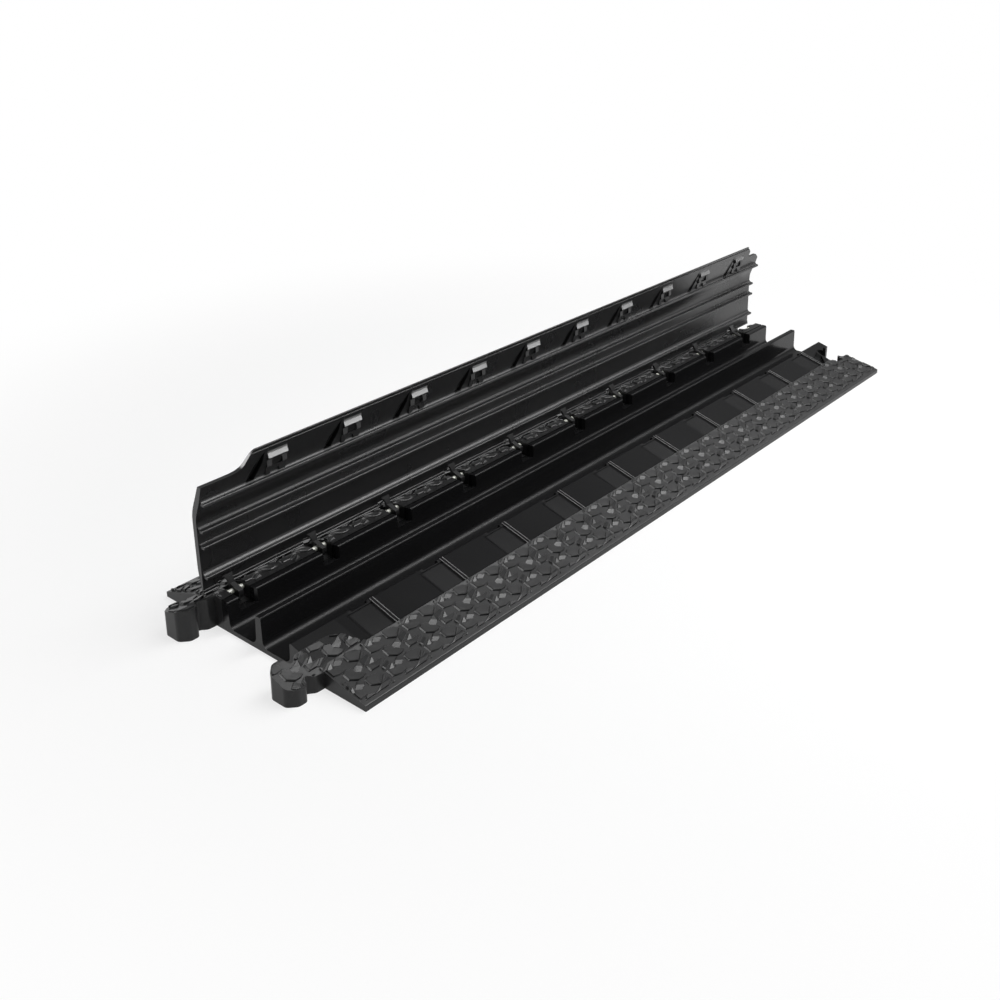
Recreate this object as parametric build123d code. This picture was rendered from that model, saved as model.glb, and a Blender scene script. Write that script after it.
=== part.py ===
"""Cable protector ramp: a two-channel base moulding with a full-length hinged lid.

Frame: +X runs along the ramp away from the male connectors, +Y from the front toe
to the hinge side, +Z up. The origin is on the floor under the middle of the whole
part. The lid is built closed and is then swung open, which is its rest pose.
Sections are drawn as (y, z), measured from the front toe and the floor, and plans
as (x, y), measured from the near end face and the front toe.
"""
import os
from math import tan, radians

from build123d import *

# overall size
LENGTH = 1000.0
WIDTH = 272.0
TOE = 5.5
LUG_REACH = 39.0
ORIGIN = Location((-(LENGTH - LUG_REACH) / 2, -WIDTH / 2, 0))

# front ramp
RAMP_KNEE = (50.0, 16.5)
RAMP_CREST = (77.0, 26.0)
TREAD_EDGE = 55.0
LAND_OUTER_Z = 14.9
LAND_INNER = (92.8, 25.9)

# channels and the divider between them
FLOOR = 4.5
CHANNEL_RADIUS = 7.0
WALL_DRAFT = 2.0
DIVIDER_FRONT = 130.7
DIVIDER_BACK = 137.8
DIVIDER_TOP = 34.5
HINGE_WALL = 176.6

# hinge line
KNUCKLE_TOP = 31.4
GROOVE = (183.4, 184.8)
GROOVE_DEPTH = 1.3
BACK_RAMP_START = 197.0
AXIS_Y = 195.0
AXIS_Z = 27.5
HINGE_PITCH = 101.8
HINGES = 10
SLOT_START = 12.9
SLOT_WIDTH = 18.8
SLOT_BACK = 205.2
SLOT_FLOOR = 17.4
HOOK_OFFSET = 7.3
HOOK_WIDTH = 5.5
HOOK_RADIUS = 9.3
ROD_RADIUS = 2.5
ROD_CLEARANCE = 0.05
PLUG_LENGTH = 8.0
OPEN_ANGLE = 90.0

# bars on the land, with a shallow pocket beside each for the lid's pads
BARS = 10
BAR_PITCH = 94.0
BAR_START = 92.9
BAR_WIDTH = 5.5
BAR_RISE = 0.7
POCKET_WIDTH = 28.0
POCKET_DEPTH = 1.3

# connectors
LUG_CENTRE = 63.0
SOCKET_CLEARANCE = 1.0

# lid
LID_START = -7.0
LID_END = 985.0
LID_EDGE = 60.0
LID_EDGE_Z = (18.2, 20.6)
RIM_WIDTH = 3.6
LID_LOW_EDGE = 78.5
LID_HINGE_EDGE = 188.6
LID_HINGE_EDGE_Z = (33.0, 35.0)
BEAD_STEPS = (184.4, 187.3)
BEAD_STEP = 0.7
RIBS = [(96.6, 2.5), (125.2, 2.5), (141.0, 1.5), (171.3, 3.5)]
RIB_HEIGHT = 6.0
RIB_WIDTH = 2.6
RIB_ROUND = 1.0
PAD_START = 66.5
PAD_WIDTH = 23.5
DISH_RADIUS = 6.0
DISH_DEPTH = 1.6


def outline(corners):
    """A closed face from (u, v, radius) corners, each rounded by its radius."""
    face = make_face(Polyline(*[(u, v) for u, v, radius in corners], close=True))
    for radius in sorted({corner[2] for corner in corners if corner[2]}):
        spots = [Vector(u, v) for u, v, r in corners if r == radius]
        chosen = [
            vertex for vertex in face.vertices()
            if any((Vector(vertex.X, vertex.Y) - spot).length < 1e-3 for spot in spots)
        ]
        face = fillet(chosen, radius)
    return face


def along(section, start, end):
    """Extrude a (y, z) section along the ramp from start to end."""
    return extrude(Plane.YZ.offset(start) * section, end - start)


def upright(plan, bottom, top):
    """Extrude an (x, y) plan from bottom to top."""
    return extrude(Plane.XY.offset(bottom) * plan, top - bottom)


def land_z(y):
    """Height of the smooth land that the closed lid rests on."""
    slope = (LAND_INNER[1] - LAND_OUTER_Z) / (LAND_INNER[0] - TREAD_EDGE)
    return LAND_OUTER_Z + slope * (y - TREAD_EDGE)


def drafted(y, z, top_z, outward):
    """The y of a channel wall that leans outward by the draft below its top."""
    return y + outward * (top_z - z) * tan(radians(WALL_DRAFT))


# ---------------------------------------------------------------- base moulding

def base_section():
    """The section that runs the whole length of the base."""
    tread_edge_z = RAMP_KNEE[1] + (RAMP_CREST[1] - RAMP_KNEE[1]) * (
        TREAD_EDGE - RAMP_KNEE[0]) / (RAMP_CREST[0] - RAMP_KNEE[0])
    return outline([
        (0, 0, 0),
        (0, TOE, 1.2),
        (*RAMP_KNEE, 0),
        (TREAD_EDGE, tread_edge_z, 0.6),
        (TREAD_EDGE, LAND_OUTER_Z, 0),
        (*LAND_INNER, 1.5),
        (drafted(LAND_INNER[0], FLOOR, LAND_INNER[1], 1), FLOOR, CHANNEL_RADIUS),
        (drafted(DIVIDER_FRONT, FLOOR, DIVIDER_TOP, -1), FLOOR, CHANNEL_RADIUS),
        (DIVIDER_FRONT, DIVIDER_TOP, 1.6),
        (DIVIDER_BACK, DIVIDER_TOP, 1.6),
        (drafted(DIVIDER_BACK, FLOOR, DIVIDER_TOP, 1), FLOOR, CHANNEL_RADIUS),
        (drafted(HINGE_WALL, FLOOR, KNUCKLE_TOP, -1), FLOOR, CHANNEL_RADIUS),
        (HINGE_WALL, KNUCKLE_TOP, 2.2),
        (GROOVE[0], KNUCKLE_TOP, 0),
        (GROOVE[0], KNUCKLE_TOP - GROOVE_DEPTH, 0),
        (GROOVE[1], KNUCKLE_TOP - GROOVE_DEPTH, 0),
        (GROOVE[1], KNUCKLE_TOP, 0),
        (BACK_RAMP_START, KNUCKLE_TOP, 0),
        (WIDTH, TOE, 1.2),
        (WIDTH, 0, 0),
    ])


def front_wedge(start, end):
    """Everything under the front ramp's treaded surface, as far in as the crest."""
    return along(outline([
        (0, 0, 0), (0, TOE, 1.2), (*RAMP_KNEE, 0), (*RAMP_CREST, 0),
        (RAMP_CREST[0] + 8, RAMP_CREST[1] + 2, 0), (RAMP_CREST[0] + 8, 0, 0),
    ]), start, end)


def back_wedge(start, end):
    """Everything under the back ramp's treaded surface."""
    return along(outline([
        (GROOVE[1], 0, 0), (GROOVE[1], KNUCKLE_TOP, 0), (BACK_RAMP_START, KNUCKLE_TOP, 0),
        (WIDTH, TOE, 0), (WIDTH, 0, 0),
    ]), start, end)


def lug_plan():
    """Plan of a male connector: a waist and a rounded hammer head, centred on y = 0."""
    half = [(2, 13.7, 0), (-9, 13.2, 6), (-17.8, 6.0, 3), (-20.6, 16.4, 4.5),
            (-31, 16.4, 7), (-LUG_REACH, 9, 6)]
    mirrored = [(x, -y, radius) for x, y, radius in reversed(half)]
    return outline(half + mirrored)


def near_patch_plan():
    """Treaded patch that backs the front lug, with an S-shaped inner edge."""
    s_curve = Spline((24, RAMP_CREST[0]), (38, 71.5), (43, 63), (52, TREAD_EDGE - 1),
                     tangents=[(1, 0), (1, -0.25)])
    rest = Polyline((52, TREAD_EDGE - 1), (0, TREAD_EDGE - 1), (0, RAMP_CREST[0]),
                    (24, RAMP_CREST[0]))
    return make_face([s_curve, rest])


def far_patch_plan():
    """Treaded rim round the front socket, where the lid is notched."""
    return outline([
        (946.5, TREAD_EDGE - 1, 0), (946.5, 56, 0), (957, 66, 4), (957, 75.8, 2),
        (LENGTH, 75.8, 0), (LENGTH, TREAD_EDGE - 1, 0),
    ])


def land_bar(x):
    """One raised bar across the land."""
    return along(outline([
        (TREAD_EDGE - 1, 5, 0), (TREAD_EDGE - 1, land_z(TREAD_EDGE - 1) + BAR_RISE, 0),
        (91.2, land_z(91.2) + BAR_RISE, 0), (91.2, 5, 0),
    ]), x, x + BAR_WIDTH)


def land_pocket(x):
    """Cutter for the shallow pocket before a bar, and the notch at its inner end."""
    start = x - POCKET_WIDTH
    section = outline([
        (start - 3.5, 0, 0), (start, -POCKET_DEPTH, 0), (x, -POCKET_DEPTH, 0),
        (x, 4, 0), (start - 3.5, 4, 0),
    ])
    slope = (LAND_INNER[1] - LAND_OUTER_Z) / (LAND_INNER[0] - TREAD_EDGE)
    plane = Plane(origin=(0, TREAD_EDGE + 1, land_z(TREAD_EDGE + 1)), x_dir=(1, 0, 0),
                  z_dir=(0, -1, -slope))
    pocket = extrude(plane * section, -33)
    notch = Pos(x - 13.5, LAND_INNER[0] - 1, land_z(LAND_INNER[0]) - 1) * Box(20, 6, 6)
    return [pocket, notch]


def hinge_slot(x):
    """Cutter for one slot in the hinge wall, rounded where the next knuckle starts."""
    end = x + SLOT_WIDTH
    plan = outline([
        (x, HINGE_WALL - 6, 0), (x, SLOT_BACK, 0), (end, SLOT_BACK, 0),
        (end, HINGE_WALL + 3, 2.4), (end + 6, HINGE_WALL - 6, 0),
    ])
    front = outline([(x, SLOT_FLOOR, 3), (end + 7, SLOT_FLOOR, 0), (end + 7, 50, 0), (x, 50, 0)])
    return upright(plan, 0, 60) & extrude(Plane.XZ.offset(6 - HINGE_WALL) * front, -40)


def rod_bore(radius, start, end):
    """A cylinder on the hinge axis."""
    return Location((start, AXIS_Y, AXIS_Z)) * (
        Rot(0, 90, 0) * Cylinder(radius, end - start, align=(Align.CENTER, Align.CENTER, Align.MIN)))


def make_base():
    """The base: ramps, channels, hinge knuckles, lugs and sockets in one moulding."""
    base = along(base_section(), 0, LENGTH)
    lugs = [Pos(0, centre, 0) * upright(lug_plan(), 0, 60)
            for centre in (LUG_CENTRE, WIDTH - LUG_CENTRE)]
    base += lugs[0] & front_wedge(-60, 5)
    base += lugs[1] & back_wedge(-60, 5)
    base += upright(near_patch_plan(), 2, 60) & front_wedge(-5, 80)
    base += upright(far_patch_plan(), 2, 60) & front_wedge(900, LENGTH)
    bar_starts = [BAR_START + BAR_PITCH * i for i in range(BARS)]
    base += [land_bar(x) for x in bar_starts]
    cutters = [cutter for x in bar_starts for cutter in land_pocket(x)]
    cutters += [hinge_slot(SLOT_START + HINGE_PITCH * i) for i in range(HINGES)]
    socket = offset(lug_plan(), SOCKET_CLEARANCE)
    cutters += [Pos(LENGTH, centre, 0) * upright(socket, -5, 60)
                for centre in (LUG_CENTRE, WIDTH - LUG_CENTRE)]
    cutters.append(rod_bore(ROD_RADIUS, -1, LENGTH + 1))
    return base - cutters


# ------------------------------------------------------------------- lid moulding

def underside_z(y):
    """Height of the plate's underside between its rim and its hinge edge."""
    stations = [(60, 18.2), (93, 27.6), (113, 35.2), (134, 34.9), (172, 33.9),
                (LID_HINGE_EDGE, LID_HINGE_EDGE_Z[0])]
    for (y0, z0), (y1, z1) in zip(stations, stations[1:]):
        if y0 <= y <= y1:
            return z0 + (z1 - z0) * (y - y0) / (y1 - y0)
    return stations[-1][1]


def plate_section():
    """The lid's arched plate, closed: thin rim at the front, stepped bead at the back."""
    rim = LID_EDGE + RIM_WIDTH
    outer, inner = BEAD_STEPS
    edge_z = LID_HINGE_EDGE_Z[0]
    return outline([
        (LID_EDGE, LID_EDGE_Z[0], 0.5),
        (LID_EDGE, LID_EDGE_Z[1], 1.2),
        (108, 40.2, 40),
        (165, 39.2, 60),
        (LID_HINGE_EDGE, LID_HINGE_EDGE_Z[1], 0),
        (LID_HINGE_EDGE, edge_z - BEAD_STEP, 0),
        (inner + 0.5, edge_z - BEAD_STEP, 0),
        (inner, edge_z, 0),
        (outer + 0.5, edge_z, 0),
        (outer, edge_z + BEAD_STEP, 0),
        (172, 33.9, 30),
        (134, 34.9, 0),
        (113, 35.2, 25),
        (93, 27.6, 10),
        (rim + 0.5, underside_z(rim + 0.5), 0.4),
        (rim, underside_z(rim) + 0.9, 0),
    ])


def rib(y, cove_reach):
    """A lengthwise rib: square towards the hinge, swept up in a cove to the front."""
    root = underside_z(y)
    tip = root - RIB_HEIGHT
    front = y - RIB_WIDTH / 2
    back = y + RIB_WIDTH / 2
    cove_start = front - cove_reach
    cove_root = underside_z(cove_start)
    shoulder = tip + RIB_ROUND
    middle = (front - 0.24 * cove_reach, cove_root - 0.35 * (cove_root - shoulder))
    cove = ThreePointArc((front, shoulder), middle, (cove_start, cove_root))
    nose = RadiusArc((front, shoulder), (front + RIB_ROUND, tip), -RIB_ROUND)
    rest = Polyline((cove_start, cove_root), (cove_start, root + 1.5), (back, root + 1.5),
                    (back, tip), (front + RIB_ROUND, tip))
    return along(make_face([cove, nose, rest]), LID_START + 1.5, LID_END)


def pad_recess(x, start, end, radius):
    """Cutter for one arched recess in a pad, round towards the lid's free edge."""
    arch = ThreePointArc((x - radius, start + radius), (x, start), (x + radius, start + radius))
    rest = Polyline((x + radius, start + radius), (x + radius, end), (x - radius, end),
                    (x - radius, start + radius))
    return upright(make_face([arch, rest]), 15, 33)


def pad(x):
    """A stepped pad that drops into a land pocket, cored by two round recesses."""
    steps = outline([
        (69.5, 21.8, 0), (75.5, 20.0, 0), (77, 20.2, 0), (78.5, 22.9, 0), (85, 22.9, 0),
        (86.5, 25.2, 0),
        (94, 26.0, 0), (94, 33, 0), (72, 24, 0),
    ])
    block = along(steps, x, x + PAD_WIDTH)
    return block - [pad_recess(x + 12, 76, 85.7, 6.2), pad_recess(x + 10.5, 87.6, 95, 5.4)]


def dish(x):
    """Cutter for the teardrop hollow beside a pad, deepest away from the free edge."""
    tip = Vector(x - 3.5, 67, underside_z(67))
    foot = Vector(x - 17, 93, underside_z(93))
    below = Vector(0, underside_z(93) - underside_z(67), -(93 - 67)).normalized()
    start = tip + below * DISH_RADIUS
    run = foot + below * (DISH_RADIUS - DISH_DEPTH) - start
    return Plane(origin=start - run * 0.2, z_dir=run) * Cylinder(
        DISH_RADIUS, run.length * 1.2, align=(Align.CENTER, Align.CENTER, Align.MIN))


def lid_plan():
    """Plan of the closed lid, with its S-shaped near corner and notched far corner."""
    s_curve = Spline((22, LID_LOW_EDGE), (40, 73.5), (46, 64), (58, LID_EDGE - 1),
                     tangents=[(1, 0), (1, -0.1)])
    rest = Polyline(
        (58, LID_EDGE - 1), (943, LID_EDGE - 1), (954, 68.7), (954, 77.7), (976, 77.7),
        (LID_END, 84), (LID_END, LID_HINGE_EDGE + 1), (LID_START, LID_HINGE_EDGE + 1),
        (LID_START, LID_LOW_EDGE), (22, LID_LOW_EDGE))
    return make_face([s_curve, rest])


def hook(x):
    """One hinge hook: a finger that leans out of the plate and turns down round the rod."""
    root = Polyline((179.3, 35.5), (179.3, underside_z(179.3)), (188.7, 30.9), (192.3, 18.6))
    eye = ThreePointArc((192.3, 18.6), (AXIS_Y + 6.58, AXIS_Z - 6.58), (AXIS_Y + HOOK_RADIUS, AXIS_Z))
    crown = Polyline((AXIS_Y + HOOK_RADIUS, AXIS_Z), (AXIS_Y + 8.6, 30.2), (189.2, 34.6),
                     (179.3, 35.5))
    section = make_face([root, eye, crown])
    plan = outline([
        (x - 6.5, 179, 0), (x - 2.4, 182.4, 0), (x, 188.4, 0), (x, 210, 0),
        (x + HOOK_WIDTH, 210, 0), (x + HOOK_WIDTH, 179, 0),
    ])
    return along(section, x - 7, x + HOOK_WIDTH) & upright(plan, 0, 60)


def hook_notch(x):
    """Cutter for the gap in the plate's edge on the near side of a hook."""
    return upright(outline([
        (x - 11, LID_HINGE_EDGE - 6, 0), (x + 1, LID_HINGE_EDGE - 6, 0),
        (x + 1, LID_HINGE_EDGE + 3, 0), (x - 11, LID_HINGE_EDGE + 3, 0),
    ]), 20, 50)


def make_lid():
    """The lid, closed: arched plate, ribs, pads and hooks in one moulding."""
    lid = along(plate_section(), LID_START, LID_END)
    pads = [PAD_START + BAR_PITCH * i for i in range(BARS)]
    lid -= [dish(x) for x in pads]
    lid += [rib(y, cove_reach) for y, cove_reach in RIBS]
    lid += [pad(x) for x in pads]
    lid &= upright(lid_plan(), 0, 60)
    hooks = [SLOT_START + HOOK_OFFSET + HINGE_PITCH * i for i in range(HINGES)]
    lid -= [hook_notch(x) for x in hooks]
    lid += [hook(x) for x in hooks]
    return lid - rod_bore(ROD_RADIUS + ROD_CLEARANCE, LID_START - 1, LID_END + 1)


def swung_open(lid):
    """Turn the closed lid back about the rod to where it rests open."""
    return lid.rotate(Axis((0, AXIS_Y, AXIS_Z), (1, 0, 0)), -OPEN_ANGLE)


# --------------------------------------------------------------------- hinge rod

def make_rod():
    """The round rod that strings the knuckles and hooks together."""
    return rod_bore(ROD_RADIUS, PLUG_LENGTH, LENGTH - PLUG_LENGTH)


def make_plugs():
    """Press-in plugs that close the rod's bore at both end faces."""
    return [rod_bore(ROD_RADIUS, 0, PLUG_LENGTH), rod_bore(ROD_RADIUS, LENGTH - PLUG_LENGTH, LENGTH)]


def write(name, *solids):
    """Place the solids in the part's frame and write them as one node."""
    placed = [ORIGIN * solid for solid in solids]
    shape = placed[0] if len(placed) == 1 else Compound(children=placed)
    export_step(shape, f"parts/{name}.step")


os.makedirs("parts", exist_ok=True)
write("base", make_base())
write("lid", swung_open(make_lid()))
write("hinge_rod", make_rod())
write("rod_end_plugs", *make_plugs())
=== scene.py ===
# %% [markdown]
# # Cable protector ramp
# The ramp is a long black rubber moulding that vehicles drive over, with two channels
# for cables and a lid that hinges back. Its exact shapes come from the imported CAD
# part, which is loaded here as a fixed frame. This script adds the raised tread, the
# finishes, the light and the camera.

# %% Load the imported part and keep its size
import math

import bmesh
import bpy
from mathutils import Matrix, Vector


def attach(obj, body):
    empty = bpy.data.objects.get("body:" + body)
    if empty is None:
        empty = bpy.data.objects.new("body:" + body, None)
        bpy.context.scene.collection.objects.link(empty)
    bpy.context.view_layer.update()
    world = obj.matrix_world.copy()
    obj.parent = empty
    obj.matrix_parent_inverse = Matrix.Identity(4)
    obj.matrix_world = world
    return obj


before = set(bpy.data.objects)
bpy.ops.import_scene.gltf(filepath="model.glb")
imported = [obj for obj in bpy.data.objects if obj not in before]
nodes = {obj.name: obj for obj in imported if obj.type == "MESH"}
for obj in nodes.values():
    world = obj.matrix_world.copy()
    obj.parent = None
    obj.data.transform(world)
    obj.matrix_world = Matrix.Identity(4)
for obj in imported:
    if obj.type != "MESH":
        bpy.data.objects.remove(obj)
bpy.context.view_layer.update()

# %% [markdown]
# ## Camera
# A ramp is shown best from one end, a little above, so that both channels and the
# inside of the open lid can be seen. The lens is slightly long, to keep the far end
# from looking too small.

# %% Place the camera
CAMERA_PLACE = Vector((-1.0342, -0.7423, 0.6153))
CAMERA_HEADING = Vector((0.7630, 0.6465))
CAMERA_PITCH = math.radians(20.55)

SENSOR_WIDTH = 36
FOCAL_LENGTH = 43.09
LENS_SHIFT = (0.0060, -0.1429)

camera_data = bpy.data.cameras.new("camera")
camera_data.sensor_width = SENSOR_WIDTH
camera_data.lens = FOCAL_LENGTH
camera_data.shift_x, camera_data.shift_y = LENS_SHIFT
camera = bpy.data.objects.new("camera", camera_data)
bpy.context.scene.collection.objects.link(camera)
heading = CAMERA_HEADING.normalized() * math.cos(CAMERA_PITCH)
forward = Vector((heading.x, heading.y, -math.sin(CAMERA_PITCH)))
camera.matrix_world = Matrix.LocRotScale(CAMERA_PLACE, forward.to_track_quat("-Z", "Y"), None)
bpy.context.scene.camera = camera
bpy.context.scene.view_settings.view_transform = "Standard"
print("camera looks along", tuple(round(c, 3) for c in forward))

# %% [markdown]
# ## Formulas in node trees
# Shader and geometry trees both do sums with Math nodes. A small class wraps a
# node's output, so that the sums can be written as formulas in Python. One helper
# adds every other node: it takes the node's type, its settings, and its inputs.

# %% Write node sums as formulas
class Wire:
    """A node's output that can be used in a formula."""

    def __init__(self, tree, socket):
        self.tree = tree
        self.socket = socket

    def other(self, name):
        """Another output of the same node."""
        return Wire(self.tree, self.socket.node.outputs[name])

    def sum_node(self, operation, *terms):
        """A Math node on these terms."""
        sockets = dict(enumerate(terms))
        return add_node(self.tree, "ShaderNodeMath", {"operation": operation}, sockets)

    def through(self, operation, *others):
        """This output put through a Math node, with any further terms after it."""
        return self.sum_node(operation, self, *others)

    def __add__(self, value):
        return self.through("ADD", value)

    def __sub__(self, value):
        return self.through("SUBTRACT", value)

    def __rsub__(self, value):
        return self.sum_node("SUBTRACT", value, self)

    def __mul__(self, value):
        return self.through("MULTIPLY", value)

    def __truediv__(self, value):
        return self.through("DIVIDE", value)

    __radd__ = __add__
    __rmul__ = __mul__


def add_node(tree, kind, settings=None, sockets=None, out=0):
    """Add a node, set it up, fill or link its inputs, and return one of its outputs."""
    node = tree.nodes.new(kind)
    for name, value in (settings or {}).items():
        setattr(node, name, value)
    for name, value in (sockets or {}).items():
        if isinstance(value, Wire):
            tree.links.new(value.socket, node.inputs[name])
        else:
            node.inputs[name].default_value = value
    return Wire(tree, node.outputs[out])


print("formulas ready")

# %% [markdown]
# ## The drawing's coordinates
# The ramp is drawn in millimetres from the near end face and the front toe. The
# finished pieces are in metres, from the middle of the whole part. Everything below
# is written in the drawing's millimetres and converted in one place.

# %% Convert the drawing's millimetres to the part's metres
MM = 0.001
LENGTH = 1000.0
WIDTH = 272.0
ORIGIN_X = 480.5
ORIGIN_Y = 136.0


def across(x):
    """The part's x in metres, from millimetres past the near end face."""
    return (x - ORIGIN_X) * MM


def depth(y):
    """The part's y in metres, from millimetres behind the front toe."""
    return (y - ORIGIN_Y) * MM


print("end faces at x =", across(0), "and", across(LENGTH), "m")
print("toes at y =", depth(0), "and", depth(WIDTH), "m")

# %% [markdown]
# ## The tread motif
# The tread is one motif, repeated along and across the ramp, so that tyres and shoes
# grip from every side. Its blocks are nearly level on top and have upright walls.
# Between them, short inclined faces rise to the next block. A bump in the material
# could stand in for them, but closed meshes give real walls and faces that catch the
# light. Each corner is (x, y, height) in millimetres. The wall between the first two
# corners leans outwards at its foot, so that the moulding can leave its mould.

# %% Draw the blocks of one motif
H = 1.7  # a block's high side
D = 2.4  # the ridge of an inclined face
R = 1.6  # the top of a lower inclined face
F = -0.3  # an inclined face's foot, just under the ramp's surface
L = 0.15  # almost level with the ramp
S = 0.5  # a shelf along a block's edge

arrow_with_tail = {
    "outline": [(9.9, 36.5, H), (9.6, 29.0, H), (16.0, 24.4, H), (22.0, 24.6, 1.6),
                (27.0, 26.6, L), (22.8, 29.6, 1.4), (19.8, 32.0, 1.4), (19.6, 37.4, 1.4),
                (13.0, 39.0, 1.5)],
    "tops": [(0, 1, 2, 3, 5, 6, 7, 8), (3, 4, 5)],
}
boot_with_edge = {
    "outline": [(32.3, 32.6, H), (32.0, 25.4, H), (40.5, 25.2, H), (48.2, 30.2, H),
                (47.0, 31.4, 1.5), (40.6, 31.2, 1.4), (36.0, 31.8, 1.5), (34.0, 32.9, 1.6)],
    "tops": [(0, 1, 2, 3, 4, 5, 6, 7)],
}
boot_shelf = {
    "outline": [(40.2, 25.6, S), (43.0, 24.6, S), (52.2, 29.7, S), (49.4, 31.2, S)],
    "tops": [(0, 1, 2, 3)],
}
arrow_with_edge = {
    "outline": [(19.7, 20.7, H), (19.6, 13.8, H), (26.8, 9.6, H), (28.3, 11.6, H), (36.3, 16.4, H),
                (33.0, 21.0, 1.4), (23.5, 23.0, 1.5)],
    "tops": [(0, 1, 2, 3, 4, 5, 6)],
}
arrow_shelf = {
    "outline": [(27.2, 9.6, S), (30.5, 9.6, S), (38.9, 14.8, S), (36.6, 16.8, S)],
    "tops": [(0, 1, 2, 3)],
}
boot_with_tail = {
    "outline": [(42.0, 17.4, H), (41.7, 9.4, H), (50.0, 7.5, 0.9), (58.3, 8.9, L),
                (56.4, 15.0, 0.3), (52.4, 17.4, 0.7), (50.0, 16.3, 0.9), (46.5, 16.4, 1.3),
                (43.5, 17.9, 1.5)],
    "tops": [(0, 1, 2, 3, 4, 5, 6, 7, 8)],
}
inclined_faces = [
    {"outline": [(20.0, 36.5, 0.4), (20.2, 32.0, F), (23.2, 29.9, F), (29.0, 33.3, R),
                 (30.8, 33.7, D), (41.4, 38.5, D), (41.6, 42.4, 1.8), (30.6, 40.2, 1.8),
                 (23.8, 37.4, R)],
     "tops": [(0, 1, 2, 3, 8), (3, 4, 7, 8), (4, 5, 6, 7)]},
    {"outline": [(52.6, 17.6, F), (56.6, 15.2, F), (61.4, 17.2, R), (64.2, 19.4, 1.4),
                 (60.0, 24.4, 1.4), (55.6, 21.2, R)],
     "tops": [(0, 1, 2, 5), (2, 3, 4, 5)]},
    {"outline": [(41.2, 18.5, D), (50.2, 22.6, D), (49.6, 25.8, 1.8), (41.0, 22.8, 1.8)],
     "tops": [(0, 1, 2, 3)]},
    {"outline": [(34.6, 32.3, 0.4), (40.4, 30.4, F), (42.9, 37.6, 1.7)], "tops": [(0, 1, 2)]},
    {"outline": [(43.8, 17.4, 0.4), (49.8, 15.8, F), (51.5, 21.8, 1.7)], "tops": [(0, 1, 2)]},
]
blocks = [arrow_with_tail, boot_with_edge, boot_shelf, arrow_with_edge, arrow_shelf,
          boot_with_tail] + inclined_faces
print(len(blocks), "blocks in one motif")

# %% Build the motif as one closed mesh
TOE_HEIGHT = 5.5
KNEE_DEPTH, KNEE_HEIGHT = 50.0, 16.5
FRONT_SLOPE = math.atan2(KNEE_HEIGHT - TOE_HEIGHT, KNEE_DEPTH)
STRETCH = 1 / math.cos(FRONT_SLOPE)
SUNK = -0.6
LEAN = 1.35
EDGE_BREAK = 0.5
SHARP = 0.6


def add_block(mesh, block):
    """Add one closed block: its tops, its walls and a floor below the ramp's surface."""
    corners = block["outline"]
    tops = [mesh.verts.new((x, y * STRETCH, z)) for x, y, z in corners]
    leans = [LEAN, LEAN] + [0] * (len(corners) - 2)
    feet = [mesh.verts.new((x - lean, y * STRETCH, SUNK))
            for (x, y, z), lean in zip(corners, leans)]
    count = len(feet)
    for face in block["tops"]:
        mesh.faces.new([tops[i] for i in face])
    for i in range(count):
        j = (i + 1) % count
        mesh.faces.new([tops[j], tops[i], feet[i], feet[j]])
    mesh.faces.new(list(reversed(feet)))


motif_mesh = bpy.data.meshes.new("tread motif")
build = bmesh.new()
for block in blocks:
    add_block(build, block)
bmesh.ops.recalc_face_normals(build, faces=build.faces)
rims = [edge for edge in build.edges
        if min(v.co.z for v in edge.verts) > F + 0.1 and edge.calc_face_angle(0) > SHARP]
bmesh.ops.bevel(build, geom=rims, offset=EDGE_BREAK, segments=1, affect="EDGES",
                clamp_overlap=True)
bmesh.ops.scale(build, vec=(MM, MM, MM), verts=build.verts)
build.to_mesh(motif_mesh)
build.free()
motif = bpy.data.objects.new("tread motif", motif_mesh)
bpy.context.scene.collection.objects.link(motif)
print("motif faces:", len(motif_mesh.polygons))

# %% [markdown]
# ## Laying the tread
# A Geometry Nodes tree repeats the motif on a flat lattice, cuts the result to the
# outline of the treaded area, and then bends it over the section of the ramp. The
# section is the tree's own geometry: a row of points joined as a line. The same
# tree lays the front ramp, the back ramp and the outside of the lid.

# %% Build the tree that lays the tread
PITCH_ALONG = 46.25
PITCH_ACROSS = 31.2 * STRETCH
ROW_SHIFT = 4.3

INPUTS = [
    ("Section", "NodeSocketGeometry", None),
    ("Motif", "NodeSocketObject", None),
    ("Outline", "NodeSocketObject", None),
    ("Columns", "NodeSocketInt", 25),
    ("Rows", "NodeSocketInt", 4),
    ("Start Along", "NodeSocketFloat", 0.0),
    ("Start Across", "NodeSocketFloat", 0.0),
    ("Pitch Along", "NodeSocketFloat", PITCH_ALONG * MM),
    ("Pitch Across", "NodeSocketFloat", PITCH_ACROSS * MM),
    ("Row Shift", "NodeSocketFloat", ROW_SHIFT * MM),
    ("Low From", "NodeSocketFloat", 0.0),
    ("Low To", "NodeSocketFloat", 0.001),
    ("Low Height", "NodeSocketFloat", 1.0),
    ("Material", "NodeSocketMaterial", None),
]
lay = bpy.data.node_groups.new("Lay tread", "GeometryNodeTree")
for name, kind, value in INPUTS:
    socket = lay.interface.new_socket(name=name, in_out="INPUT", socket_type=kind)
    if value is not None:
        socket.default_value = value
lay.interface.new_socket(name="Tread", in_out="OUTPUT", socket_type="NodeSocketGeometry")
section_in = add_node(lay, "NodeGroupInput")


def given(name):
    return section_in.other(name)


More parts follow.
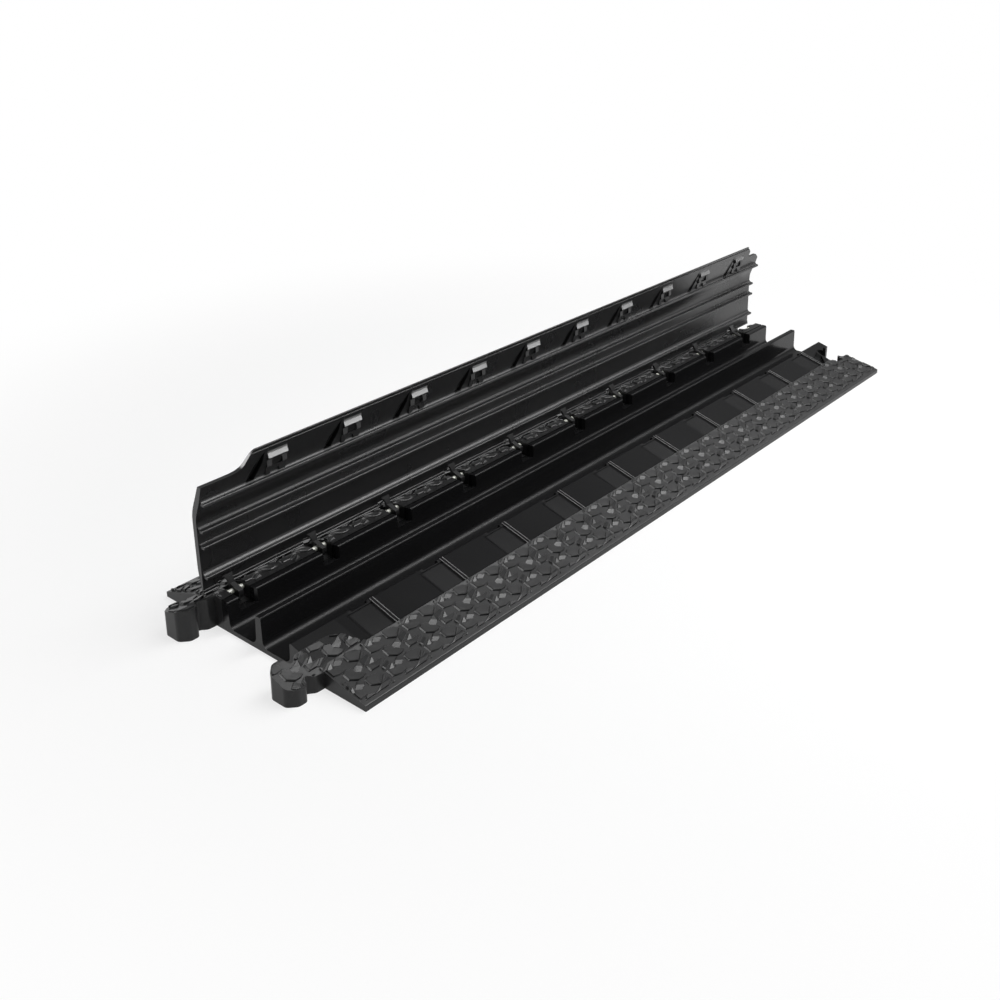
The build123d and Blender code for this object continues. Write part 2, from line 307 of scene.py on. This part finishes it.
# %% Repeat the motif on a flat lattice
counter = add_node(lay, "GeometryNodeMeshLine", {"mode": "OFFSET"},
                   {"Count": given("Columns") * given("Rows")})
index = add_node(lay, "GeometryNodeInputIndex")
row = (index / given("Columns")).through("FLOOR")
column = index - row * given("Columns")
spot = add_node(lay, "ShaderNodeCombineXYZ", None, {
    "X": given("Start Along") + column * given("Pitch Along") + row * given("Row Shift"),
    "Y": given("Start Across") + row * given("Pitch Across"),
})
lattice = add_node(lay, "GeometryNodeSetPosition", None, {"Geometry": counter, "Position": spot})
motif_in = add_node(lay, "GeometryNodeObjectInfo", None, {"Object": given("Motif")}, "Geometry")
copies = add_node(lay, "GeometryNodeInstanceOnPoints", None,
                  {"Points": lattice, "Instance": motif_in})
flat = add_node(lay, "GeometryNodeRealizeInstances", None, {"Geometry": copies})
print("lattice nodes:", len(lay.nodes))

# %% Cut the lattice to the outline
outline_in = add_node(lay, "GeometryNodeObjectInfo", None, {"Object": given("Outline")}, "Geometry")
cut = add_node(lay, "GeometryNodeMeshBoolean", {"operation": "INTERSECT", "solver": "MANIFOLD"})
lay.links.new(flat.socket, cut.socket.node.inputs["Mesh 2"])
lay.links.new(outline_in.socket, cut.socket.node.inputs["Mesh 2"])
print("nodes with the cut:", len(lay.nodes))

# %% Bend the flat tread over the section
line = add_node(lay, "GeometryNodeMeshToCurve", None, {"Mesh": given("Section")})
position = add_node(lay, "GeometryNodeInputPosition")
place = add_node(lay, "ShaderNodeSeparateXYZ", None, {"Vector": position})
sample = add_node(lay, "GeometryNodeSampleCurve", {"mode": "LENGTH", "use_all_curves": True},
                  {"Curves": line, "Length": place.other("Y")}, "Position")
point = add_node(lay, "ShaderNodeSeparateXYZ", None, {"Vector": sample})
run = add_node(lay, "ShaderNodeSeparateXYZ", None, {"Vector": sample.other("Tangent")})
low = add_node(lay, "ShaderNodeMapRange", None, {
    "Value": place.other("Y"), "From Min": given("Low From"), "From Max": given("Low To"),
    "To Min": given("Low Height"), "To Max": 1.0,
})
rise = place.other("Z") * low
bent = add_node(lay, "ShaderNodeCombineXYZ", None, {
    "X": place,
    "Y": point.other("Y") - run.other("Z") * rise,
    "Z": point.other("Z") + run.other("Y") * rise,
})
laid = add_node(lay, "GeometryNodeSetPosition", None, {"Geometry": cut, "Position": bent})
whole = add_node(lay, "GeometryNodeRealizeInstances", None, {"Geometry": laid})
shown = add_node(lay, "GeometryNodeSetMaterial", None,
                 {"Geometry": whole, "Material": given("Material")})
tree_out = lay.nodes.new("NodeGroupOutput")
lay.links.new(shown.socket, tree_out.inputs["Tread"])
print("tree has", len(lay.nodes), "nodes")

# %% [markdown]
# ## Treaded areas
# Each area has a section to bend over and an outline to be cut to. The front area
# takes in the front lug, the patch behind it with its S-shaped edge, and the rim of
# the far socket. The back area takes in the tops of the hinge knuckles, so its
# outline is a comb with a gap at every hinge slot.

# %% Measure along a section
def section_length(section, y):
    """Distance along a section, from its first point to the place with this y."""
    total = 0.0
    for (y0, z0), (y1, z1) in zip(section, section[1:]):
        piece = math.hypot(y1 - y0, z1 - z0)
        if y <= y1:
            return total + piece * (y - y0) / (y1 - y0)
        total += piece
    return total


def section_object(name, points):
    """A line of points (y, z) in the part's metres."""
    mesh = bpy.data.meshes.new(name)
    edges = [(i, i + 1) for i in range(len(points) - 1)]
    mesh.from_pydata([(0, y, z) for y, z in points], edges, [])
    line_object = bpy.data.objects.new(name, mesh)
    bpy.context.scene.collection.objects.link(line_object)
    return line_object


PRISM_BOTTOM, PRISM_TOP = -2.0, 4.0


def outline_object(name, corners):
    """A closed prism over an outline of (x, distance along the section)."""
    mesh = bpy.data.meshes.new(name)
    shape = bmesh.new()
    lower = [shape.verts.new((across(x), v * MM, PRISM_BOTTOM * MM)) for x, v in corners]
    upper = [shape.verts.new((across(x), v * MM, PRISM_TOP * MM)) for x, v in corners]
    shape.faces.new(list(reversed(lower)))
    shape.faces.new(upper)
    for i in range(len(corners)):
        j = (i + 1) % len(corners)
        shape.faces.new([lower[i], lower[j], upper[j], upper[i]])
    bmesh.ops.recalc_face_normals(shape, faces=shape.faces)
    shape.to_mesh(mesh)
    shape.free()
    prism = bpy.data.objects.new(name, mesh)
    bpy.context.scene.collection.objects.link(prism)
    return prism


print("areas can be measured and outlined")

# %% Clear away what the cut leaves
SMALLEST = 2.0


def drop_crumbs(mesh):
    """Remove the loose bits of blocks that are smaller than a mould would have."""
    shape = bmesh.new()
    shape.from_mesh(mesh)
    unseen = set(shape.faces)
    crumbs = []
    while unseen:
        island = [unseen.pop()]
        for face in island:
            for edge in face.edges:
                if len(edge.link_faces) == 2:
                    fresh = [other for other in edge.link_faces if other in unseen]
                    unseen.difference_update(fresh)
                    island += fresh
        corners = [vert.co for face in island for vert in face.verts]
        spans = [max(c[i] for c in corners) - min(c[i] for c in corners) for i in range(3)]
        if max(spans) < SMALLEST * MM:
            crumbs += island
    bmesh.ops.delete(shape, geom=crumbs, context="FACES")
    shape.to_mesh(mesh)
    shape.free()
    return len(crumbs)


print("crumbs are bits under", SMALLEST, "mm")


# %% Lay one treaded area
COLUMNS = 25


def lay_tread(name, section, corners, rows, first, low, body):
    """Lay the tread over a section, within an outline, and make it a plain mesh.

    first is where the lattice starts, in metres. low is (from, to, height): before the
    first distance in millimetres the tread has only that share of its height.
    """
    piece = section_object(name, section)
    prism = outline_object(name + " outline", corners)
    values = {
        "Motif": motif, "Outline": prism, "Columns": COLUMNS, "Rows": rows,
        "Start Along": first[0], "Start Across": first[1],
        "Low From": low[0] * MM, "Low To": low[1] * MM, "Low Height": low[2],
        "Material": tread_rubber,
    }
    modifier = piece.modifiers.new("Lay tread", "NODES")
    modifier.node_group = lay
    for item in lay.interface.items_tree:
        if item.in_out == "INPUT" and item.name in values:
            modifier[item.identifier] = values[item.name]
    bpy.context.view_layer.update()
    evaluated = piece.evaluated_get(bpy.context.evaluated_depsgraph_get())
    plain = bpy.data.meshes.new_from_object(evaluated)
    crumbs = drop_crumbs(plain)
    piece.modifiers.clear()
    piece.data = plain
    bpy.data.objects.remove(prism)
    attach(piece, body)
    print(name, "faces:", len(plain.polygons), "crumb faces removed:", crumbs)


print("ready to lay")

# %% [markdown]
# ## Finishes
# All mouldings are the same black polyurethane, but the surface differs. The channels,
# the land and the hinge are polished and reflect the room. The tread is dull, with a
# fine grain from the mould. A soft noise varies the sheen a little, the way handling
# does, and another lightens the tread where dust stays. One function makes all three
# rubbers, because they differ only in their colours, their roughness and where they
# are dull.

# %% Start a material and its surface shader
def new_material(name):
    """A material with only a Principled shader, and its node tree."""
    material = bpy.data.materials.new(name)
    material.use_nodes = True
    return material, material.node_tree


def surface_of(tree):
    return tree.nodes["Principled BSDF"]


def link_in(tree, wire, name):
    """Link an output into one of the surface shader's sockets."""
    tree.links.new(wire.socket, surface_of(tree).inputs[name])


print("materials can be started")

# %% Noise, ranges and mixed colours
def noise(tree, place, scale, detail=2.0, rough=0.5):
    return add_node(tree, "ShaderNodeTexNoise", None,
                    {"Vector": place, "Scale": scale, "Detail": detail, "Roughness": rough})


def between(tree, value, low_end, high_end, low_value=0.0, high_value=1.0):
    """Map a value from one range to another, smoothly and clamped."""
    return add_node(tree, "ShaderNodeMapRange", {"interpolation_type": "SMOOTHSTEP"}, {
        "Value": value, "From Min": low_end, "From Max": high_end,
        "To Min": low_value, "To Max": high_value})


def tint(tree, factor, dark, light):
    """Mix two colours by a factor."""
    return add_node(tree, "ShaderNodeMix", {"data_type": "RGBA"},
                    {0: factor, 6: dark, 7: light}, out=2)


def grey(level, cool=0.0):
    """A grey that is a little bluer than neutral by the given amount."""
    return (level, level, level + cool, 1)


print("noise, ranges and tints ready")

# %% Black rubber, polished or dull by where it is
# painted shade: the near black painted into the lid's hollows
HOLLOW_PAINTED_SHADE = grey(0.004)
# painted highlight: the paler grey painted on the bars' edges and the pads' first steps
PAINTED_HIGHLIGHT_GREY = grey(0.27)
CLOUDS, DUST, GRAIN, RIPPLE = 14.0, 55.0, 900.0, 60.0


def rubber(name, matte_mask, dark, light, polish, grain, shine, marks=None):
    """Black moulding: matte_mask is 1 on treaded surfaces and 0 on polished ones.

    marks gives a mask of hollows for painted shade or None, a mask for painted
    highlights, the roughness to add, and the height to add in millimetres.
    """
    material, tree = new_material(name)
    place = add_node(tree, "ShaderNodeTexCoord", out="Object")
    x = add_node(tree, "ShaderNodeSeparateXYZ", None, {"Vector": place})
    y, z = x.other("Y"), x.other("Z")
    matte = matte_mask(tree, x, y, z)
    cloud = noise(tree, place, CLOUDS, 3.0)
    speck = noise(tree, place, GRAIN, 2.0, 0.6)
    dust = between(tree, noise(tree, place, DUST, 4.0, 0.65), 0.52, 0.75)
    shade = tint(tree, matte * (cloud * 0.5 + speck * 0.5 + dust * 0.25), dark, light)
    gloss = cloud * 0.08 + polish - 0.04
    rough = gloss + matte * (grain - polish + speck * 0.12)
    height = matte * speck * 0.018 + noise(tree, place, RIPPLE, 2.0) * 0.004
    if marks:
        hollow, painted_highlight, duller, higher = marks(tree, x, y, z)
        # painted highlight on the bars' edges and the pads' first steps
        shade = tint(tree, painted_highlight * (1 - matte), shade, PAINTED_HIGHLIGHT_GREY)
        rough = rough + duller
        height = height + higher
        # painted shade: the lid's hollows are painted near black, and Metallic takes their shine
        # away
        if hollow:
            hollow = hollow * (1 - matte)
            shade = tint(tree, hollow, shade, HOLLOW_PAINTED_SHADE)
            link_in(tree, hollow, "Metallic")
    link_in(tree, shade, "Base Color")
    link_in(tree, rough, "Roughness")
    bump = add_node(tree, "ShaderNodeBump", None,
                    {"Height": height, "Strength": 1.0, "Distance": MM})
    link_in(tree, bump, "Normal")
    surface_of(tree).inputs["Specular IOR Level"].default_value = shine
    print(name, "nodes:", len(tree.nodes))
    return material


# %% Where each moulding is dull
def always(tree, x, y, z):
    return x * 0.0 + 1.0


def treaded_side(tree, x, y, z):
    """1 on the two ramps, the lugs and the strip on the knuckles, 0 in between."""
    front = between(tree, y, depth(55.3), depth(54.7))
    back = between(tree, y, depth(184.6), depth(185.4))
    near = between(tree, x, across(-0.5), across(-1.5))
    return front.through("MAXIMUM", back.through("MAXIMUM", near))


def outer_side(tree, x, y, z):
    """1 on the lid's outside, which faces away from the channels when it stands open."""
    facing = add_node(tree, "ShaderNodeNewGeometry", out="Normal")
    turned = add_node(tree, "ShaderNodeSeparateXYZ", None, {"Vector": facing})
    return between(tree, turned.other("Y"), 0.1, 0.4)


print("masks ready")

# %% [markdown]
# ## Marks that come at every pad
# The lid rests on the land by ten pads, each beside a raised bar. The imported part
# leaves the bars' edges sharp, so a bump rounds them in the shading and a painted
# highlight lightens them. The pockets that the pads drop into are duller. On the lid,
# the hollow beside each pad gets painted shade, almost black. A low Specular can't vary
# over a surface here, so Metallic on near black takes its shine away. The first step of
# each pad is shaded as if it leant back a little more, and a painted highlight makes it
# paler. These two stand in for shapes that the part doesn't have. All marks are
# measured from the nearest of a row of places, so one formula serves all ten.

# %% Measure from the nearest bar or pad
BAR_PITCH = 94.0
FIRST_BAR = 95.65
BAR_HALF = 2.75
FIRST_POCKET = 78.9
POCKET_HALF = 14.5
PATCH_END = 50.0
LAND = (55.2, 55.6, 91.2, 92.2)  # begins, is full, ends to be full, is over


def away_from(x, first, pitch):
    """Distance along the ramp from the nearest of a row of places."""
    return (x - across(first)).through("PINGPONG", pitch * MM / 2)


def land_marks(tree, x, y, z):
    """The land's marks: no hollows, a painted highlight on the bars' edges, dull pockets and
    rounded bars.
    """
    land = between(tree, y, depth(LAND[0]), depth(LAND[1]))
    land = land * between(tree, y, depth(LAND[3]), depth(LAND[2]))
    land = land * between(tree, x, across(PATCH_END), across(PATCH_END + 1.0))
    from_bar = away_from(x, FIRST_BAR, BAR_PITCH)
    bar = between(tree, from_bar, BAR_HALF * MM, (BAR_HALF - 1.0) * MM)
    edge = bar * between(tree, from_bar, (BAR_HALF - 1.6) * MM, (BAR_HALF - 0.8) * MM)
    from_pocket = away_from(x, FIRST_POCKET, BAR_PITCH)
    pocket = between(tree, from_pocket, POCKET_HALF * MM, (POCKET_HALF - 2.5) * MM)
    # land * edge is the painted highlight on the bars' edges
    return None, land * edge, land * (pocket * 0.07 - 0.05), land * bar * 0.4


print("bars every", BAR_PITCH, "mm")

# %% Mark the lid's hollows and steps
FIRST_HOLLOW = 63.0
HOLLOW_TIP = 0.1555
HOLLOW_SLANT = 0.519
HOLLOW_HALF = 0.0058
FIRST_PAD = 78.25
STEP_FOOT = 146.5
STEP_HEIGHT = 7.0
STEP_LEAN = -0.58
# how far the painted highlight pales each pad's first step
STEP_HIGHLIGHT_LEVEL = 0.4


def pad_marks(tree, x, y, z):
    """The lid's marks: painted shade in the hollows, and a painted highlight on first steps that
    lean back.
    """
    down = z * -1 + HOLLOW_TIP
    width = between(tree, z, 0.1600, 0.1400) * HOLLOW_HALF
    beside = away_from(x + down * HOLLOW_SLANT, FIRST_HOLLOW, BAR_PITCH)
    # the hollow mask is where painted shade goes
    hollow = between(tree, beside - width, 0.0, -0.0016) * between(tree, z, 0.1265, 0.1295)
    above = z / MM - STEP_FOOT
    step = above.through("MINIMUM", STEP_HEIGHT).through("MAXIMUM", 0.0)
    pad = between(tree, away_from(x, FIRST_PAD, BAR_PITCH), 0.0118, 0.0114)
    # painted highlight on each pad's first step
    step_highlight = pad * between(tree, z, 0.1462, 0.1470) * between(tree, z, 0.1545, 0.1537)
    return hollow, step_highlight * STEP_HIGHLIGHT_LEVEL, 0.0, pad * step * STEP_LEAN


print("hollows start at", FIRST_HOLLOW, "mm, pads at", FIRST_PAD, "mm")

# %% Make the three rubbers
BLACK = grey(0.0090, 0.0005)
TREAD_DARK = grey(0.015, 0.0005)
TREAD_LIGHT = grey(0.028, 0.0005)
SATIN_DARK = grey(0.0150, 0.0005)
SATIN_LIGHT = grey(0.0200, 0.0005)

tread_rubber = rubber("treaded rubber", always, TREAD_DARK, TREAD_LIGHT,
                      polish=0.24, grain=0.25, shine=0.25)
base_rubber = rubber("base moulding", treaded_side, BLACK, TREAD_LIGHT,
                     polish=0.18, grain=0.25, shine=0.25, marks=land_marks)
lid_rubber = rubber("lid moulding", outer_side, SATIN_DARK, SATIN_LIGHT,
                    polish=0.28, grain=0.36, shine=0.5, marks=pad_marks)

# %% [markdown]
# ## Rod and plugs
# A rod strings the hooks and knuckles together, and a small press-in plug closes
# each end of its bore. The rod is drawn glass fibre, which doesn't rust, and its
# fibres show as fine streaks along its length.

# %% Glass fibre and plug rubber
FIBRE_STRETCH = (8.0, 900.0, 900.0)
FIBRE_DARK = (0.42, 0.43, 0.36, 1)
FIBRE_LIGHT = (0.62, 0.63, 0.56, 1)
PLUG_DARK = grey(0.012)
PLUG_LIGHT = grey(0.024, 0.001)
PLUG_GRAIN = 500.0


def drawn_glass_fibre():
    """The rod: noise stretched into streaks sets its colour and its roughness."""
    material, tree = new_material("drawn glass fibre")
    place = add_node(tree, "ShaderNodeTexCoord", out="Object")
    stretched = add_node(tree, "ShaderNodeMapping", None,
                         {"Vector": place, "Scale": FIBRE_STRETCH})
    fibres = noise(tree, stretched, 1.0, 3.0)
    link_in(tree, tint(tree, fibres, FIBRE_DARK, FIBRE_LIGHT), "Base Color")
    link_in(tree, fibres * 0.2 + 0.35, "Roughness")
    return material


def plug_rubber():
    """The plugs: dull black rubber with a fine grain."""
    material, tree = new_material("plug rubber")
    place = add_node(tree, "ShaderNodeTexCoord", out="Object")
    grain = noise(tree, place, PLUG_GRAIN, 3.0)
    link_in(tree, tint(tree, grain, PLUG_DARK, PLUG_LIGHT), "Base Color")
    link_in(tree, grain * 0.2 + 0.5, "Roughness")
    bump = add_node(tree, "ShaderNodeBump", None,
                    {"Height": grain, "Strength": 0.2, "Distance": 0.0003})
    link_in(tree, bump, "Normal")
    return material


finishes = {
    "base": base_rubber, "lid": lid_rubber,
    "hinge_rod": drawn_glass_fibre(), "rod_end_plugs": plug_rubber(),
}
for name, finish in finishes.items():
    nodes[name].data.materials.clear()
    nodes[name].data.materials.append(finish)
print("finished nodes:", ", ".join(finishes))

# %% [markdown]
# ## The front tread
# The front tread follows the ramp, whose lower part is flatter than its upper part.
# Its outline stays just inside the toe and the step to the smooth land.

# %% Lay the front ramp, its lug and its patch
FRONT_SECTION = [(0.0, TOE_HEIGHT), (KNEE_DEPTH, KNEE_HEIGHT), (77.0, 26.0), (90.0, 30.6)]
FRONT_ROWS = 5
FRONT_LOW = (4.6, 8.0, 0.85)


def front(y):
    return section_length(FRONT_SECTION, y)


front_outline = [(x, front(y)) for x, y in [
    (2.0, 4.6), (998.0, 4.6), (998.0, 46.6), (989.5, 47.5), (982.0, 53.0), (979.0, 43.5),
    (968.0, 43.5), (961.0, 52.9), (53.0, 52.9), (49.0, 57.0), (44.0, 65.0), (39.0, 71.0),
    (31.0, 74.3), (20.0, 75.6), (1.0, 75.6), (-8.5, 75.0), (-14.0, 71.5), (-17.5, 68.6),
    (-19.0, 73.5), (-23.0, 78.0), (-30.0, 78.0), (-36.0, 73.5), (-37.6, 70.0), (-37.6, 56.0),
    (-36.0, 52.5), (-30.0, 48.0), (-23.0, 48.0), (-19.0, 52.5), (-17.5, 57.4), (-14.0, 54.5),
    (-8.5, 51.0), (0.0, 50.5), (2.0, 48.0),
]]
lay_tread(
    "tread_front", [(depth(y), z * MM) for y, z in FRONT_SECTION], front_outline, FRONT_ROWS,
    first=(across(-2 * PITCH_ALONG - ROW_SHIFT), -PITCH_ACROSS * MM), low=FRONT_LOW,
    body="base")

# %% [markdown]
# ## The back tread
# Behind the hinge the tread runs over the knuckles and down the back ramp. It is low
# beside the lid's edge, which comes down next to it when the lid is shut.

# %% Lay the knuckles and the back ramp
KNUCKLE_TOP = 31.4
BACK_SECTION = [(184.8, KNUCKLE_TOP), (197.0, KNUCKLE_TOP), (WIDTH, TOE_HEIGHT)]
BACK_ROWS = 4
SLOT_START = 12.9
SLOT_PITCH = 101.8
SLOT_WIDTH = 18.8
SLOT_MARGIN = 1.2
SLOT_MOUTH, SLOT_END = 186.0, 207.0
SLOTS = 10


def back(y):
    return section_length(BACK_SECTION, y)


comb = [(-8.5, back(197.0)), (0.0, back(194.5)), (2.0, back(SLOT_MOUTH))]
for i in range(SLOTS):
    near_side = SLOT_START + SLOT_PITCH * i - SLOT_MARGIN
    far_side = SLOT_START + SLOT_PITCH * i + SLOT_WIDTH + SLOT_MARGIN
    comb += [(near_side, back(SLOT_MOUTH)), (near_side, back(SLOT_END)),
             (far_side, back(SLOT_END)), (far_side, back(SLOT_MOUTH))]
back_outline = comb + [(x, back(y)) for x, y in [
    (959.0, 186.0), (959.0, 198.0), (959.0, 220.0), (967.0, 228.5), (979.0, 228.5),
    (982.0, 219.0), (989.5, 224.5), (998.0, 225.5), (998.0, 267.0), (2.0, 267.0), (2.0, 224.0),
    (0.0, 221.5), (-8.5, 221.0), (-14.0, 217.5), (-17.5, 214.6), (-19.0, 219.5), (-23.0, 224.0),
    (-30.0, 224.0), (-36.0, 219.5), (-37.6, 216.0), (-37.6, 202.0), (-36.0, 198.5),
    (-30.0, 194.0), (-23.0, 194.0), (-19.0, 198.5), (-17.5, 203.4), (-14.0, 200.5),
]]
lay_tread(
    "tread_back", [(depth(y), z * MM) for y, z in BACK_SECTION], back_outline, BACK_ROWS,
    first=(across(-2 * PITCH_ALONG), -0.6 * PITCH_ACROSS * MM),
    low=(back(189.0), back(190.5), 0.3), body="base")

# %% [markdown]
# ## The lid's tread
# The outside of the lid is driven over when it is shut, so it has the same tread. The
# section runs from the free edge at the top down to the hinge edge, with the lid open.

# %% Lay the outside of the lid
SHUT_SECTION = [(60.0, 20.6), (96.0, 35.3), (100.0, 36.8), (104.0, 38.1), (108.0, 39.0),
                (114.0, 39.75), (120.0, 40.0), (150.0, 39.45), (158.0, 39.15), (165.0, 38.6),
                (172.0, 37.8), (188.6, 35.0)]
AXIS_DEPTH, AXIS_HEIGHT = 195.0, 27.5
LID_ROWS = 6
NOT_LOW = (0.0, 0.001, 1.0)


def lid_down(y):
    return section_length(SHUT_SECTION, y)


def swung_open(y, z):
    """Turn a place on the shut lid a quarter turn back about the hinge, in metres."""
    return depth(z + AXIS_DEPTH - AXIS_HEIGHT), (AXIS_DEPTH + AXIS_HEIGHT - y) * MM


lid_outline = [(x, lid_down(y)) for x, y in [
    (-3.5, 83.0), (22.0, 83.0), (41.0, 78.0), (50.0, 68.0), (60.0, 64.5), (941.0, 64.5),
    (950.0, 71.5), (950.5, 82.0), (973.5, 82.0), (981.0, 88.0), (981.0, 184.0), (-3.5, 184.0),
]]
lay_tread(
    "tread_lid", [swung_open(y, z) for y, z in SHUT_SECTION], lid_outline, LID_ROWS,
    first=(across(-2 * PITCH_ALONG), -PITCH_ACROSS * MM), low=NOT_LOW,
    body="lid")
bpy.data.objects.remove(motif)

# %% [markdown]
# ## Light
# Black rubber shows its shape by what it reflects. One large soft box hangs to the
# right above the ramp, where the inclined faces and the rounded edges mirror it. A
# smaller one stands at the back left for the walls that face away. The room itself is
# dim, pale only low down. The large box is there twice: a plain lamp that lights the
# colours at their own level, and a brighter one that only reflections see. The
# smaller box is only there for reflections.

# %% Light the room
ROOM_LEVEL = 0.25
HORIZON = (0.06, 0.16)
world = bpy.data.worlds.new("studio")
bpy.context.scene.world = world
world.use_nodes = True
room = world.node_tree
view = add_node(room, "ShaderNodeTexCoord", out="Generated")
up = add_node(room, "ShaderNodeSeparateXYZ", None, {"Vector": view}, out="Z")
level = between(room, up, *HORIZON, 1.0, ROOM_LEVEL)
room.links.new(level.socket, room.nodes["Background"].inputs["Color"])
print("room level:", ROOM_LEVEL)


# %% Hang the soft boxes
def soft_box(name, place, aim, size, radiance, hidden_from):
    """A rectangular lamp of a given brightness that points from its place at its aim."""
    lamp = bpy.data.lights.new(name, "AREA")
    lamp.shape = "RECTANGLE"
    lamp.size, lamp.size_y = size
    lamp.energy = radiance * math.pi * size[0] * size[1]
    holder = bpy.data.objects.new(name, lamp)
    bpy.context.scene.collection.objects.link(holder)
    turn = (Vector(aim) - Vector(place)).to_track_quat("-Z", "Y")
    holder.matrix_world = Matrix.LocRotScale(Vector(place), turn, None)
    for kind in hidden_from:
        setattr(holder, "visible_" + kind, False)


TOP_BOX = {"place": (0.65, -0.56, 1.5), "aim": (0, -0.56, 0), "size": (0.95, 1.9)}
BACK_BOX = {"place": (-1.3, 0.75, 0.75), "aim": (0, -0.1, 0), "size": (1.1, 1.1)}
PLAIN_LEVEL = 5.2
TOP_SHINE = 32.0
BACK_SHINE = 10.0
soft_box("top box", radiance=PLAIN_LEVEL, hidden_from=["camera", "glossy"], **TOP_BOX)
soft_box("top box shine", radiance=TOP_SHINE, hidden_from=["camera", "diffuse"], **TOP_BOX)
soft_box("back box shine", radiance=BACK_SHINE, hidden_from=["camera", "diffuse"], **BACK_BOX)
print("lamps:", len(bpy.data.lights))

# %% [markdown]
# ## Floor
# The ramp stands on a white floor that runs out of sight. The paint is pale and takes
# the ramp's shadow. Away from the ramp it gives way to plain white for the camera and
# for reflections, so that the floor has no edge and lights the ramp no more than paint
# would.

# %% Lay the floor
FLOOR_SIZE = 40
FLOOR_PAINT = grey(0.95)
FLOOR_ROUGHNESS = 0.9
SHADOW_REACH = (0.45, 1.0)
WHITE_NEARBY = 0.72
bpy.ops.mesh.primitive_plane_add(size=FLOOR_SIZE)
floor = bpy.context.object
floor.name = "floor"
floor_paint, floor_tree = new_material("pale floor")
surface_of(floor_tree).inputs["Base Color"].default_value = FLOOR_PAINT
surface_of(floor_tree).inputs["Roughness"].default_value = FLOOR_ROUGHNESS
seen = add_node(floor_tree, "ShaderNodeLightPath", out="Is Camera Ray")
seen = seen + seen.other("Is Glossy Ray") + seen.other("Is Transmission Ray")
floor_place = add_node(floor_tree, "ShaderNodeTexCoord", out="Object")
away = add_node(floor_tree, "ShaderNodeVectorMath", {"operation": "LENGTH"},
                {0: floor_place}, out="Value")
white = add_node(floor_tree, "ShaderNodeEmission", None,
                 {"Color": grey(1.0), "Strength": 1.0})
paint = add_node(floor_tree, "ShaderNodeMixShader", None, {
    0: seen * between(floor_tree, away, *SHADOW_REACH, WHITE_NEARBY, 1.0),
    1: Wire(floor_tree, surface_of(floor_tree).outputs[0]), 2: white})
floor_output = floor_tree.nodes["Material Output"]
floor_tree.links.new(paint.socket, floor_output.inputs["Surface"])
floor.data.materials.append(floor_paint)
print("floor is", FLOOR_SIZE, "m wide")
